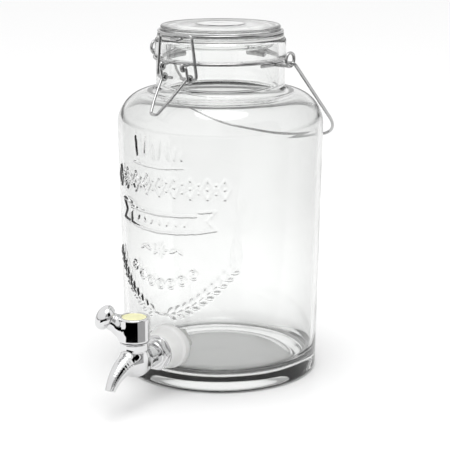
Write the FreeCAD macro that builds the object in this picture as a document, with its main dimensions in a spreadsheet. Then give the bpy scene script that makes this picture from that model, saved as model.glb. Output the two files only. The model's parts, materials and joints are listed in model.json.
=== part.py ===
import FreeCAD, Part
import math
import os

import Sketcher
from FreeCAD import Placement, Rotation, Vector

# A clip-top glass drinks dispenser with a plug-valve tap, in millimetres.
# +Z is up, the origin is on the jar's axis in the plane that its foot stands on, and the tap points along -Y.
# The wire closure on the neck is built facing -Y and then turned about +Z by closure_turn.

SIZES = {
    # glass jar
    "foot_radius": 73.7,
    "shoulder_radius": 77.7,
    "shoulder_height": 214.5,
    "shoulder_round": 25.0,
    "heel_round": 4.0,
    "wall": 3.6,
    "floor_height": 12.0,
    "floor_round": 10.0,
    "punt_radius": 58.0,
    "punt_height": 6.0,
    "foot_inner_radius": 65.0,
    "neck_radius": 48.0,
    "neck_root_round": 4.0,
    "mouth_radius": 43.5,
    "bead_radius": 48.8,
    "bead_height": 240.1,
    "rim_height": 253.6,
    "rim_round": 2.6,
    "mouth_edge_round": 1.5,
    "inner_neck_round": 6.0,
    # glass lid and its gasket
    "gasket_inner_radius": 41.0,
    "gasket_outer_radius": 47.3,
    "gasket_thick": 1.5,
    "gasket_edge_round": 0.5,
    "seal_gap": 0.1,
    "lid_flange_radius": 47.0,
    "lid_flange_thick": 1.5,
    "lid_waist_radius": 44.4,
    "lid_notch_radius": 43.7,
    "lid_notch_height": 4.8,
    "lid_notch_width": 0.9,
    "lid_top_radius": 44.6,
    "lid_thick": 7.8,
    "lid_crown_radius": 20.0,
    "lid_crown_step": 0.5,
    "lid_plug_radius": 40.4,
    "lid_plug_wall": 6.0,
    "lid_plug_depth": 8.0,
    "lid_web": 5.2,
    "lid_edge_round": 1.4,
    "lid_plug_foot_round": 1.0,
    "lid_plug_root_round": 3.0,
    # wires of the closure
    "closure_turn": -7.5,
    "ring_wire": 1.15,
    "clasp_wire": 1.1,
    "handle_wire": 1.2,
    "wire_fit": 0.05,
    "neck_ring_height": 238.7,
    "lid_ring_radius": 45.7,
    "lid_ring_height": 258.15,
    "lever_pivot_reach": 56.0,
    "lever_pivot_height": 237.0,
    "lever_eyelet_side": 9.5,
    "lever_eye_side": 11.8,
    "link_pivot_reach": 51.2,
    "link_pivot_height": 228.2,
    "link_top_reach": 52.3,
    "link_top_height": 259.3,
    "eye_radius": 2.3,
    "nose_side": 4.5,
    "nose_reach": 54.0,
    "nose_drop": 2.2,
    "hinge_reach": 53.5,
    "hinge_height": 251.5,
    "hinge_side": 9.0,
    "ear_reach": 63.0,
    "ear_eye_radius": 4.9,
    "handle_side": 66.6,
    "handle_half_width": 62.0,
    "handle_corner_depth": 92.5,
    "handle_depth": 108.4,
    "handle_corner_round": 30.0,
    "handle_bow_round": 100.0,
    "handle_rest_angle": 48.7,
    # tap
    "tap_height": 34.6,
    "tap_hole_radius": 9.0,
    "shank_radius": 8.0,
    "shank_end_reach": 57.0,
    "flow_radius": 3.1,
    "washer_disc_radius": 16.2,
    "washer_disc_reach": 79.4,
    "washer_radius": 15.0,
    "washer_front_radius": 13.0,
    "washer_face_reach": 92.0,
    "washer_hole_radius": 8.2,
    "washer_gap": 0.15,
    "inner_washer_radius": 12.6,
    "inner_washer_reach": 67.6,
    "nut_radius": 12.2,
    "nut_thick": 7.0,
    "flange_radius": 12.7,
    "flange_thick": 1.6,
    "hex_radius": 13.2,
    "hex_thick": 4.6,
    "collar_step_radius": 9.6,
    "collar_step_thick": 1.6,
    "tube_radius": 8.4,
    "barrel_reach": 121.4,
    "barrel_radius": 10.6,
    "barrel_foot_height": 26.9,
    "barrel_foot_radius": 9.4,
    "barrel_foot_round": 6.0,
    "barrel_top_height": 51.4,
    "collar_height": 45.4,
    "chamber_radius": 7.1,
    "chamber_floor_height": 29.4,
    "plug_radius": 7.0,
    "plug_top_height": 50.6,
    "o_ring_radius": 6.2,
    "o_ring_wire": 0.85,
    "stem_radius": 4.0,
    "stem_top_height": 60.0,
    "head_radius": 11.4,
    "head_foot_height": 51.7,
    "head_top_height": 69.3,
    "head_edge": 1.2,
    "disc_radius": 8.8,
    "disc_thick": 1.2,
    "disc_recess": 1.6,
    "screw_radius": 1.5,
    "screw_head_radius": 3.0,
    "screw_head_thick": 2.0,
    "arm_turn": 60.0,
    "arm_rise": 31.0,
    "arm_root_height": 56.4,
    "arm_length": 19.8,
    "knob_length": 10.4,
    "knob_radius": 9.2,
}

DOC = FreeCAD.newDocument("drinks_dispenser")
SHEET = DOC.addObject("Spreadsheet::Sheet", "Sizes")
NODES = []


class Size:
    """A size from the sheet, or one worked out from it: the number, and the expression that gives it."""

    def __init__(self, number, text):
        self.number = number
        self.text = text

    def __add__(self, other):
        return joined(self, "+", other)

    def __radd__(self, other):
        return joined(other, "+", self)

    def __sub__(self, other):
        return joined(self, "-", other)

    def __rsub__(self, other):
        return joined(other, "-", self)

    def __mul__(self, other):
        return joined(self, "*", other)

    def __neg__(self):
        return joined(0.0, "-", self)


def as_size(value):
    return value if isinstance(value, Size) else Size(float(value), repr(float(value)))


def joined(left, sign, right):
    left = as_size(left)
    right = as_size(right)
    number = {
        "+": left.number + right.number,
        "-": left.number - right.number,
        "*": left.number * right.number,
    }[sign]
    return Size(number, f"({left.text} {sign} {right.text})")


def size(name):
    return Size(SIZES[name], f"Sizes.{name}")


def fill_sheet():
    for row, (name, value) in enumerate(SIZES.items(), start=1):
        SHEET.set(f"A{row}", name)
        SHEET.set(f"B{row}", str(value))
        SHEET.setAlias(f"B{row}", name)
    DOC.recompute()


def bind(item, prop, value):
    value = as_size(value)
    if "." not in prop:
        setattr(item, prop, value.number)
    item.setExpression(prop, value.text)


def put(item, x=0, y=0, z=0, turn=None):
    """Places an item: its turn, and the three coordinates of its base, each bound to the sheet."""
    x, y, z = as_size(x), as_size(y), as_size(z)
    item.Placement = Placement(Vector(x.number, y.number, z.number), turn or Rotation())
    for axis, value in zip("xyz", (x, y, z)):
        item.setExpression(f"Placement.Base.{axis}", value.text)
    return item


def node(item, label):
    item.Label = label
    NODES.append(item)
    return item


# ---- sketches and bodies ----


def draw_outline(body, plane_role, corners):
    """A closed outline of straight sides, with every corner held by dimensions bound to the sheet."""
    plane = next(f for f in body.Origin.OriginFeatures if f.Role == plane_role)
    sketch = body.newObject("Sketcher::SketchObject", "outline")
    sketch.AttachmentSupport = [(plane, "")]
    sketch.MapMode = "FlatFace"
    corners = [(as_size(a), as_size(b)) for a, b in corners]
    points = [Vector(a.number, b.number, 0) for a, b in corners]
    count = len(points)
    for i in range(count):
        sketch.addGeometry(Part.LineSegment(points[i], points[(i + 1) % count]), False)
    for i in range(count):
        sketch.addConstraint(Sketcher.Constraint("Coincident", i, 2, (i + 1) % count, 1))
    for i, (across, up) in enumerate(corners):
        hold_corner(sketch, i, "DistanceX", across, -2)
        hold_corner(sketch, i, "DistanceY", up, -1)
    return sketch


def hold_corner(sketch, index, kind, value, axis):
    """Holds a corner at a distance from an axis of the sketch, or on that axis where the distance is zero."""
    if value.number == 0:
        sketch.addConstraint(Sketcher.Constraint("PointOnObject", index, 1, axis))
        return
    number = sketch.addConstraint(Sketcher.Constraint(kind, -1, 1, index, 1, value.number))
    sketch.setExpression(f"Constraints[{number}]", value.text)


def revolved_body(label, corners):
    body = DOC.addObject("PartDesign::Body", label)
    sketch = draw_outline(body, "XZ_Plane", corners)
    turned = body.newObject("PartDesign::Revolution", "turned")
    turned.Profile = sketch
    turned.ReferenceAxis = (sketch, ["V_Axis"])
    turned.Angle = 360
    DOC.recompute()
    return body


def round_rims(body, radius, rims):
    """Rounds the circular edges round the body's own Z axis that have the given radii and heights."""
    radius = as_size(radius)
    rims = [(as_size(r).number, as_size(z).number) for r, z in rims]
    names = []
    for number, edge in enumerate(body.Tip.Shape.Edges, start=1):
        if not isinstance(edge.Curve, Part.Circle):
            continue
        centre = edge.Curve.Center
        if math.hypot(centre.x, centre.y) > 0.01:
            continue
        if any(abs(edge.Curve.Radius - r) < 0.01 and abs(centre.z - z) < 0.01 for r, z in rims):
            names.append(f"Edge{number}")
    base = body.Tip
    fillet = body.newObject("PartDesign::Fillet", "rounded")
    fillet.Base = (base, names)
    bind(fillet, "Radius", radius)
    DOC.recompute()
    return fillet


def round_sketch(body, plane_role, centre, radius):
    """A circle in one of the body's origin planes."""
    plane = next(f for f in body.Origin.OriginFeatures if f.Role == plane_role)
    sketch = body.newObject("Sketcher::SketchObject", "round_outline")
    sketch.AttachmentSupport = [(plane, "")]
    sketch.MapMode = "FlatFace"
    across, up = as_size(centre[0]), as_size(centre[1])
    radius = as_size(radius)
    middle = Vector(across.number, up.number, 0)
    sketch.addGeometry(Part.Circle(middle, Vector(0, 0, 1), radius.number), False)
    for kind, value, axis in (("DistanceX", across, -2), ("DistanceY", up, -1)):
        if value.number == 0:
            sketch.addConstraint(Sketcher.Constraint("PointOnObject", 0, 3, axis))
        else:
            number = sketch.addConstraint(Sketcher.Constraint(kind, -1, 1, 0, 3, value.number))
            sketch.setExpression(f"Constraints[{number}]", value.text)
    number = sketch.addConstraint(Sketcher.Constraint("Radius", 0, radius.number))
    sketch.setExpression(f"Constraints[{number}]", radius.text)
    return sketch


def pocket(body, sketch, length):
    """Cuts a sketch's outline into the body, the way that the sketch's normal points."""
    before = body.Tip.Shape.Volume
    hole = body.newObject("PartDesign::Pocket", "hole")
    hole.Profile = sketch
    hole.Reversed = True
    bind(hole, "Length", length)
    DOC.recompute()
    assert hole.Shape.Volume < before - 1.0, "the hole missed the body"


# ---- primitives and booleans ----

ALONG_TAP = Rotation(Vector(1, 0, 0), 90)
ACROSS = Rotation(Vector(0, 1, 0), 90)


def cylinder(radius, height, x=0, y=0, z=0, turn=None):
    item = DOC.addObject("Part::Cylinder", "cylinder")
    bind(item, "Radius", radius)
    bind(item, "Height", height)
    return put(item, x, y, z, turn)


def cone(radius_1, radius_2, height, x=0, y=0, z=0, turn=None):
    item = DOC.addObject("Part::Cone", "cone")
    bind(item, "Radius1", radius_1)
    bind(item, "Radius2", radius_2)
    bind(item, "Height", height)
    return put(item, x, y, z, turn)


def torus(ring_radius, wire_radius, x=0, y=0, z=0, turn=None):
    item = DOC.addObject("Part::Torus", "torus")
    bind(item, "Radius1", ring_radius)
    bind(item, "Radius2", wire_radius)
    return put(item, x, y, z, turn)


def prism(corner_radius, height, x=0, y=0, z=0, turn=None, sides=6):
    item = DOC.addObject("Part::Prism", "prism")
    item.Polygon = sides
    bind(item, "Circumradius", corner_radius)
    bind(item, "Height", height)
    return put(item, x, y, z, turn)


def box(length, width, height, x=0, y=0, z=0, turn=None):
    item = DOC.addObject("Part::Box", "box")
    bind(item, "Length", length)
    bind(item, "Width", width)
    bind(item, "Height", height)
    return put(item, x, y, z, turn)


def fuse(*items):
    item = DOC.addObject("Part::MultiFuse", "fused")
    item.Shapes = list(items)
    return item


def cut(base, *tools):
    for tool in tools:
        item = DOC.addObject("Part::Cut", "cut")
        item.Base = base
        item.Tool = tool
        base = item
    return base


def common(base, tool):
    item = DOC.addObject("Part::Common", "common")
    item.Base = base
    item.Tool = tool
    return item


def rounded_foot(item, radius):
    """The item with its lowest circular edge rounded."""
    DOC.recompute()
    circles = [
        (edge.Curve.Center.z, number)
        for number, edge in enumerate(item.Shape.Edges, start=1)
        if isinstance(edge.Curve, Part.Circle)
    ]
    fillet = DOC.addObject("Part::Fillet", "rounded")
    fillet.Base = item
    fillet.Edges = [(min(circles)[1], radius.number, radius.number)]
    return fillet


def loft(sections):
    """A solid through round sections, each given by its centre, radius and direction."""
    rounds = []
    for (x, y, z), radius, direction in sections:
        item = DOC.addObject("Part::Circle", "section")
        bind(item, "Radius", radius)
        rounds.append(put(item, x, y, z, Rotation(Vector(0, 0, 1), direction)))
    item = DOC.addObject("Part::Loft", "loft")
    item.Sections = rounds
    item.Solid = True
    return item


# ---- bent wire ----


def bend(before, corner, after, radius):
    """The two ends and the middle of the arc that rounds a corner of a wire's route."""
    back = (before - corner).normalize()
    ahead = (after - corner).normalize()
    half_angle = back.getAngle(ahead) / 2
    inward = (back + ahead).normalize()
    run = radius / math.tan(half_angle)
    centre = corner + inward * (radius / math.sin(half_angle))
    return corner + back * run, centre - inward * radius, corner + ahead * run


def bent_wire(points, bends, wire_radius):
    """A round wire along straight runs joined by tangent arcs; bends holds a radius for each inner point."""
    points = [Vector(*p) for p in points]
    edges = []
    start = points[0]
    for i, radius in enumerate(bends, start=1):
        first, middle, last = bend(points[i - 1], points[i], points[i + 1], radius)
        if (first - start).Length > 1e-6:
            edges.append(Part.LineSegment(start, first).toShape())
        edges.append(Part.Arc(first, middle, last).toShape())
        start = last
    if (points[-1] - start).Length > 1e-6:
        edges.append(Part.LineSegment(start, points[-1]).toShape())
    path = Part.Wire(edges)
    heading = points[1] - points[0]
    section = Part.Wire([Part.Circle(points[0], heading, wire_radius).toShape()])
    return path.makePipeShell([section], True, False)


def wire_ring(ring_radius, wire_radius, centre, axis):
    return Part.makeTorus(ring_radius, wire_radius, Vector(*centre), Vector(*axis))


def mirrored(shapes):
    """The shapes and their mirror images across the plane x = 0."""
    return [*shapes, *[shape.mirror(Vector(), Vector(1, 0, 0)) for shape in shapes]]


def wire_node(label, shapes):
    """A node of bent wire, fused from its runs and eyes and turned with the closure."""
    solid = shapes[0]
    if len(shapes) > 1:
        solid = shapes[0].multiFuse(shapes[1:])
    item = DOC.addObject("Part::Feature", label)
    item.Shape = solid.Solids[0] if len(solid.Solids) == 1 else solid
    item.Placement = Placement(Vector(), Rotation(Vector(0, 0, 1), size("closure_turn").number))
    return node(item, label)


# ---- glass ----


def make_jar():
    wall = size("wall")
    inner_top = size("shoulder_height") - wall
    corners = [
        (0, size("punt_height")),
        (size("punt_radius"), size("punt_height")),
        (size("foot_inner_radius"), 0),
        (size("foot_radius"), 0),
        (size("shoulder_radius"), size("shoulder_height")),
        (size("neck_radius"), size("shoulder_height")),
        (size("neck_radius"), size("bead_height")),
        (size("bead_radius"), size("bead_height") + 0.6),
        (size("bead_radius"), size("rim_height")),
        (size("mouth_radius"), size("rim_height")),
        (size("mouth_radius"), inner_top),
        (size("shoulder_radius") - wall, inner_top),
        (size("foot_radius") - wall, size("floor_height")),
        (0, size("floor_height")),
    ]
    body = revolved_body("glass_jar", corners)
    round_rims(body, size("shoulder_round"), [corners[4]])
    round_rims(body, size("neck_root_round"), [corners[5]])
    round_rims(body, size("heel_round"), [corners[3]])
    round_rims(body, size("rim_round"), [corners[8]])
    round_rims(body, size("mouth_edge_round"), [corners[9]])
    round_rims(body, size("shoulder_round") - wall, [corners[11]])
    round_rims(body, size("inner_neck_round"), [corners[10]])
    round_rims(body, size("floor_round"), [corners[12]])
    tap_centre = (0, size("tap_height"))
    hole = round_sketch(body, "XZ_Plane", tap_centre, size("tap_hole_radius"))
    pocket(body, hole, 100.0)
    node(body, "glass_jar")


def make_lid():
    seat = size("rim_height") + size("seal_gap") * 2 + size("gasket_thick")
    flange_top = seat + size("lid_flange_thick")
    notch = seat + size("lid_notch_height")
    top = seat + size("lid_thick")
    plug_foot = seat - size("lid_plug_depth")
    plug_inner = size("lid_plug_radius") - size("lid_plug_wall")
    crown = size("lid_crown_radius")
    corners = [
        (0, top + size("lid_crown_step")),
        (crown, top + size("lid_crown_step")),
        (crown + 0.8, top),
        (size("lid_top_radius"), top - 0.3),
        (size("lid_top_radius"), notch + size("lid_notch_width")),
        (size("lid_notch_radius"), notch + 0.5),
        (size("lid_notch_radius"), notch),
        (size("lid_waist_radius"), notch - 0.3),
        (size("lid_waist_radius"), flange_top),
        (size("lid_flange_radius"), flange_top),
        (size("lid_flange_radius"), seat),
        (size("lid_plug_radius"), seat),
        (size("lid_plug_radius") - 0.5, plug_foot),
        (plug_inner + 0.8, plug_foot),
        (plug_inner, top - size("lid_web")),
        (0, top - size("lid_web") + 0.4),
    ]
    body = revolved_body("glass_lid", corners)
    round_rims(body, size("lid_edge_round"), [corners[3]])
    round_rims(body, size("lid_plug_foot_round"), [corners[12], corners[13]])
    round_rims(body, size("lid_plug_root_round"), [corners[14]])
    node(body, "glass_lid")


def make_gasket():
    low = size("rim_height") + size("seal_gap")
    high = low + size("gasket_thick")
    inner = size("gasket_inner_radius")
    outer = size("gasket_outer_radius")
    corners = [(inner, low), (outer, low), (outer, high), (inner, high)]
    body = revolved_body("lid_gasket", corners)
    round_rims(body, size("gasket_edge_round"), corners)
    node(body, "lid_gasket")


# ---- wire closure, all facing -Y before it is turned ----


def make_neck_ring():
    wire = SIZES["ring_wire"]
    height = SIZES["neck_ring_height"]
    ring_radius = SIZES["neck_radius"] + wire + SIZES["wire_fit"]
    side = SIZES["lever_eyelet_side"]
    reach = SIZES["lever_pivot_reach"]
    pivot = SIZES["lever_pivot_height"]
    eye = SIZES["eye_radius"]
    on_ring = math.sqrt(ring_radius**2 - side**2)
    tail = bent_wire(
        [(side, -on_ring, height), (side, -reach + eye * 0.96, pivot + eye * 0.3)], [], SIZES["clasp_wire"]
    )
    eyelet = wire_ring(eye, SIZES["clasp_wire"], (side, -reach, pivot), (1, 0, 0))
    ring = wire_ring(ring_radius, wire, (0, 0, height), (0, 0, 1))
    wire_node("neck_ring", [ring, *mirrored([tail, eyelet])])


def under_ring_height():
    """The height of the wires that are tucked under the neck ring."""
    return SIZES["neck_ring_height"] - 2 * SIZES["ring_wire"] - SIZES["wire_fit"]


def under_ring_radius():
    return SIZES["neck_radius"] + SIZES["ring_wire"] + SIZES["wire_fit"]


def tucked_arc(middle_angle, half_span):
    """A stretch of wire that hugs the neck under its ring; angles in degrees from +X."""
    wire = SIZES["ring_wire"]
    radius = under_ring_radius()
    height = under_ring_height()
    angles = [math.radians(middle_angle + offset) for offset in (-half_span, 0, half_span)]
    first, middle, last = [Vector(radius * math.cos(a), radius * math.sin(a), height) for a in angles]
    path = Part.Wire([Part.Arc(first, middle, last).toShape()])
    heading = Vector(-math.sin(angles[0]), math.cos(angles[0]), 0)
    section = Part.Wire([Part.Circle(first, heading, wire).toShape()])
    return path.makePipeShell([section], True, False)


def make_handle_ears():
    """Two wire clips tucked under the neck ring, each with an upright eye for the carrying handle."""
    wire = SIZES["ring_wire"]
    height = under_ring_height()
    radius = under_ring_radius()
    reach = SIZES["ear_reach"]
    eye = SIZES["ear_eye_radius"]
    for label, sign, middle in (("handle_ear_right", 1, 0), ("handle_ear_left", -1, 180)):
        clip = tucked_arc(middle, 16)
        arm = bent_wire([(sign * radius, 0, height), (sign * reach, 0, height)], [], SIZES["clasp_wire"])
        ring = wire_ring(eye, wire, (sign * reach, 0, height + eye), (1, 0, 0))
        wire_node(label, [clip, arm, ring])


def make_hinge_bracket():
    """The rear bracket: a bar tucked under the neck ring whose ends rise outside it into two eyes."""
    wire = SIZES["ring_wire"]
    low = under_ring_height()
    side = SIZES["hinge_side"]
    reach = SIZES["hinge_reach"]
    height = SIZES["hinge_height"]
    radius = under_ring_radius()
    eye = SIZES["eye_radius"]
    on_ring = math.sqrt(radius**2 - side**2)
    half_span = math.degrees(math.asin(side / radius))
    bar = tucked_arc(90, half_span)
    upright = bent_wire(
        [(side, on_ring - 0.1, low), (side, reach - 0.4, low), (side, reach - 0.4, height - eye)],
        [2.2],
        SIZES["clasp_wire"],
    )
    ring = wire_ring(eye, SIZES["clasp_wire"], (side, reach, height), (1, 0, 0))
    wire_node("rear_hinge_bracket", [bar, *mirrored([upright, ring])])


def make_lid_ring():
    """The lid's wire: a ring round the waist, a nose in front for the clasp, and a hinge bar at the back."""
    wire = SIZES["ring_wire"]
    thin = SIZES["clasp_wire"]
    radius = SIZES["lid_ring_radius"]
    height = SIZES["lid_ring_height"]
    side = SIZES["nose_side"]
    reach = SIZES["nose_reach"]
    low = height - SIZES["nose_drop"]
    flat = SIZES["lid_flange_radius"] + 1.6
    on_ring = math.sqrt(radius**2 - side**2)
    nose = bent_wire(
        [
            (side, -on_ring, height),
            (side, -flat, height),
            (side, -reach, low),
            (-side, -reach, low),
            (-side, -flat, height),
            (-side, -on_ring, height),
        ],
        [3.0, 3.4, 3.4, 3.0],
        thin,
    )
    bar_side = SIZES["hinge_side"] + 3.6
    bar_reach = SIZES["hinge_reach"]
    bar_height = SIZES["hinge_height"]
    on_ring = math.sqrt(radius**2 - bar_side**2)
    bar = bent_wire(
        [
            (bar_side, on_ring, height),
            (bar_side, bar_reach, height),
            (bar_side, bar_reach, bar_height),
            (-bar_side, bar_reach, bar_height),
            (-bar_side, bar_reach, height),
            (-bar_side, on_ring, height),
        ],
        [2.4, 2.0, 2.0, 2.4],
        thin,
    )
    ring = wire_ring(radius, wire, (0, 0, height), (0, 0, 1))
    wire_node("lid_ring", [ring, nose, bar])


def make_clasp_lever():
    """The lever: pins in the neck ring's eyelets, arms down to two eyes, and a finger loop below them."""
    wire = SIZES["clasp_wire"]
    eye = SIZES["eye_radius"]
    inner = SIZES["lever_eyelet_side"] - 2.4
    side = SIZES["lever_eye_side"]
    reach = SIZES["lever_pivot_reach"]
    height = SIZES["lever_pivot_height"]
    eye_reach = SIZES["link_pivot_reach"]
    eye_height = SIZES["link_pivot_height"]
    arm = bent_wire(
        [(inner, -reach, height), (side, -reach, height), (side, -eye_reach - eye, eye_height)],
        [1.5],
        wire,
    )
    ring = wire_ring(eye, wire, (side, -eye_reach, eye_height), (1, 0, 0))
    start = (eye_reach + eye * 0.6, eye_height + eye * 0.84)
    middle = (eye_reach + 17.4, eye_height - 13.9)
    tip = (eye_reach + 26.6, eye_height - 23.0)
    loop = bent_wire(
        [
            (side, -start[0], start[1]),
            (6.9, -middle[0], middle[1]),
            (2.9, -tip[0], tip[1]),
            (-2.9, -tip[0], tip[1]),
            (-6.9, -middle[0], middle[1]),
            (-side, -start[0], start[1]),
        ],
        [26.0, 2.7, 2.7, 26.0],
        wire,
    )
    wire_node("clasp_lever", [loop, *mirrored([arm, ring])])


def make_clasp_link():
    """The link: a bail over the lid ring's nose, with both ends hooked inward through the lever's eyes."""
    wire = SIZES["clasp_wire"]
    low = (SIZES["link_pivot_reach"], SIZES["link_pivot_height"])
    high = (SIZES["link_top_reach"], SIZES["link_top_height"])
    end = 4.6
    foot = 18.0
    shoulder = 14.2
    link = bent_wire(
        [
            (end, -low[0], low[1]),
            (foot, -low[0], low[1]),
            (shoulder, -high[0], high[1]),
            (-shoulder, -high[0], high[1]),
            (-foot, -low[0], low[1]),
            (-end, -low[0], low[1]),
        ],
        [2.4, 3.0, 3.0, 2.4],
        wire,
    )
    wire_node("clasp_link", [link])


def handle_pivot_height():
    """The handle's ends rest in the lowest point of the ears' eyes."""
    eye_hole = SIZES["ear_eye_radius"] - SIZES["ring_wire"]
    eye_centre = under_ring_height() + SIZES["ear_eye_radius"]
    return eye_centre - eye_hole + SIZES["handle_wire"] + 0.3


def make_carry_handle():
    """The carrying handle: a bow that hangs at the back, with its ends sprung inward through the ears."""
    wire = SIZES["handle_wire"]
    angle = math.radians(SIZES["handle_rest_angle"])
    pivot = handle_pivot_height()
    stub_end = SIZES["ear_reach"] - 3.4

    def hung(x, depth):
        return (x, depth * math.sin(angle), pivot - depth * math.cos(angle))

    half = [
        hung(stub_end, 0),
        hung(SIZES["handle_side"], 0),
        hung(SIZES["handle_half_width"], SIZES["handle_corner_depth"]),
    ]
    apex = hung(0, SIZES["handle_depth"])
    other_half = [(-x, y, z) for x, y, z in reversed(half)]
    corner = SIZES["handle_corner_round"]
    bow = bent_wire(
        [*half, apex, *other_half],
        [2.4, corner, SIZES["handle_bow_round"], corner, 2.4],
        wire,
    )
    wire_node("carry_handle", [bow])


# ---- tap ----


def wall_tool(inset, foot, top):
    """All that lies inside the jar's wall, from foot to top, to shape what bears on the wall."""
    return cone(size("foot_radius") - inset, size("shoulder_radius") - inset, top - foot, 0, 0, foot)


def make_outer_washer():
    """A soft washer: a disc shaped to the wall, and a tapered body up to the tap's flange."""
    face = size("washer_face_reach")
    disc_reach = size("washer_disc_reach")
    height = size("tap_height")
    root = size("foot_radius") - size("wall")
    gap = size("washer_gap")
    disc = cylinder(size("washer_disc_radius"), disc_reach - root, 0, 0 - root, height, ALONG_TAP)
    body = cone(
        size("washer_radius"),
        size("washer_front_radius"),
        face - disc_reach + 0.5,
        0,
        0.5 - disc_reach,
        height,
        ALONG_TAP,
    )
    hole = cylinder(size("washer_hole_radius"), 40.0, 0, 10.0 - root, height, ALONG_TAP)
    outer_wall = wall_tool(0 - gap, as_size(0), size("shoulder_height"))
    node(cut(fuse(disc, body), hole, outer_wall), "outer_washer")


def make_inner_washer():
    """A soft washer inside the jar, shaped to the wall on one side and flat for the nut on the other."""
    inner = size("inner_washer_reach")
    height = size("tap_height")
    wall = size("wall")
    blank = cylinder(size("inner_washer_radius"), 10.0, 0, 0 - inner, height, ALONG_TAP)
    hole = cylinder(size("washer_hole_radius"), 20.0, 0, 5.0 - inner, height, ALONG_TAP)
    inner_wall = wall_tool(wall + size("washer_gap"), size("floor_height"), size("shoulder_height") - wall)
    node(common(cut(blank, hole), inner_wall), "inner_washer")


def make_inner_nut():
    outer = size("inner_washer_reach") - 0.1
    thick = size("nut_thick")
    flange = cylinder(size("nut_radius"), 2.0, 0, 2.0 - outer, size("tap_height"), ALONG_TAP)
    grip = prism(size("nut_radius") - 1.0, thick - 1.0, 0, thick - outer, size("tap_height"), ALONG_TAP)
    bore = cylinder(size("shank_radius") + 0.06, 20.0, 0, thick + 2.0 - outer, size("tap_height"), ALONG_TAP)
    node(cut(fuse(flange, grip), bore), "inner_nut")


# the spout's curve: distance ahead of the barrel's axis, height, outer radius, and pitch in degrees
SPOUT = [
    (-3.0, 37.4, 8.4, 0),
    (7.0, 37.6, 7.9, -10),
    (16.0, 35.8, 6.6, -26),
    (23.6, 31.8, 5.2, -44),
    (28.8, 27.2, 4.2, -58),
    (31.4, 23.4, 3.7, -68),
]
SPOUT_BORE_SCALE = 0.62
PAST_OUTLET = (33.6, 16.0, 4.0, -76)


def spout_sections(places, scale):
    """Round sections through the given places of the spout's curve, with scaled radii."""
    sections = []
    for ahead, height, radius, pitch in places:
        angle = math.radians(pitch)
        direction = Vector(0, -math.cos(angle), math.sin(angle))
        centre = (0, 0 - size("barrel_reach") - ahead, as_size(height))
        sections.append((centre, radius * scale, direction))
    return sections


def make_tap_body():
    height = size("tap_height")
    washer = size("washer_face_reach") + 0.1
    flange_end = washer + size("flange_thick")
    hex_end = flange_end + size("hex_thick")
    step_end = hex_end + size("collar_step_thick")
    reach = size("barrel_reach")
    shank_end = size("shank_end_reach")
    shank = cylinder(size("shank_radius"), washer - shank_end + 1.0, 0, 0 - shank_end, height, ALONG_TAP)
    flange = cylinder(size("flange_radius"), size("flange_thick") + 0.3, 0, 0 - washer, height, ALONG_TAP)
    hex_blank = prism(size("hex_radius"), size("hex_thick"), 0, 0 - flange_end, height, ALONG_TAP)
    hex_cone = cone(
        size("hex_radius") + 3.0,
        size("hex_radius") - 1.2,
        size("hex_thick") + 0.2,
        0,
        0.1 - flange_end,
        height,
        ALONG_TAP,
    )
    step = cylinder(size("collar_step_radius"), step_end - hex_end + 0.5, 0, 0.5 - hex_end, height, ALONG_TAP)
    tube = cylinder(size("tube_radius"), reach - step_end + 1.0, 0, 1.0 - step_end, height, ALONG_TAP)
    collar = size("collar_height")
    foot = size("barrel_foot_height")
    barrel = cylinder(size("barrel_radius"), size("barrel_top_height") - collar, 0, 0 - reach, collar)
    neck_radius = size("barrel_radius") - 0.9
    below_collar = cone(size("barrel_foot_radius"), neck_radius, collar - foot + 0.1, 0, 0 - reach, foot)
    barrel_foot = rounded_foot(below_collar, size("barrel_foot_round"))
    spout = loft(spout_sections(SPOUT, 1.0))
    outside = fuse(shank, flange, common(hex_blank, hex_cone), step, tube, barrel, barrel_foot, spout)
    chamber = cylinder(
        size("chamber_radius"),
        size("barrel_top_height") - size("chamber_floor_height") + 1.0,
        0,
        0 - reach,
        size("chamber_floor_height"),
    )
    flow = cylinder(size("flow_radius"), reach - shank_end + 2.0, 0, 1.0 - shank_end, height, ALONG_TAP)
    spout_bore = loft(spout_sections([*SPOUT[:-1], PAST_OUTLET], SPOUT_BORE_SCALE))
    node(cut(outside, chamber, flow, spout_bore), "tap_body")


def make_valve_plug():
    reach = size("barrel_reach")
    foot = size("chamber_floor_height") + 0.2
    plug = cylinder(size("plug_radius"), size("plug_top_height") - foot, 0, 0 - reach, foot)
    stem = cylinder(size("stem_radius"), size("stem_top_height") - foot, 0, 0 - reach, foot)
    port = cylinder(size("flow_radius"), 30.0, -15.0, 0 - reach, size("tap_height"), ACROSS)
    flats = box(10.0, 3.0, 12.0, -5.0, 2.8 - reach, size("plug_top_height") + 0.5)
    pilot = cylinder(size("screw_radius") + 0.03, 8.0, 0, 0 - reach, size("stem_top_height") - 7.0)
    grooves = [o_ring_torus(size("o_ring_wire") + 0.05, height) for height in o_ring_heights()]
    node(cut(fuse(plug, stem), port, flats, pilot, *grooves), "valve_plug")


def o_ring_heights():
    return (size("plug_top_height") - 3.0, size("chamber_floor_height") + 1.15)


def o_ring_torus(wire_radius, height):
    return torus(size("o_ring_radius"), wire_radius, 0, 0 - size("barrel_reach"), height)


def make_o_rings():
    for label, height in zip(("plug_o_ring_upper", "plug_o_ring_lower"), o_ring_heights()):
        node(o_ring_torus(size("o_ring_wire"), height), label)


def arm_direction():
    """The way the lever arm points: turned from -Y towards -X, and rising."""
    turn = math.radians(SIZES["arm_turn"])
    rise = math.radians(SIZES["arm_rise"])
    return Vector(-math.sin(turn) * math.cos(rise), -math.cos(turn) * math.cos(rise), math.sin(rise))


def arm_point(distance):
    """A place on the arm's axis, at a distance from the head's axis."""
    offset = arm_direction() * distance
    return (as_size(offset.x), offset.y - size("barrel_reach"), offset.z + size("arm_root_height"))


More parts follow.
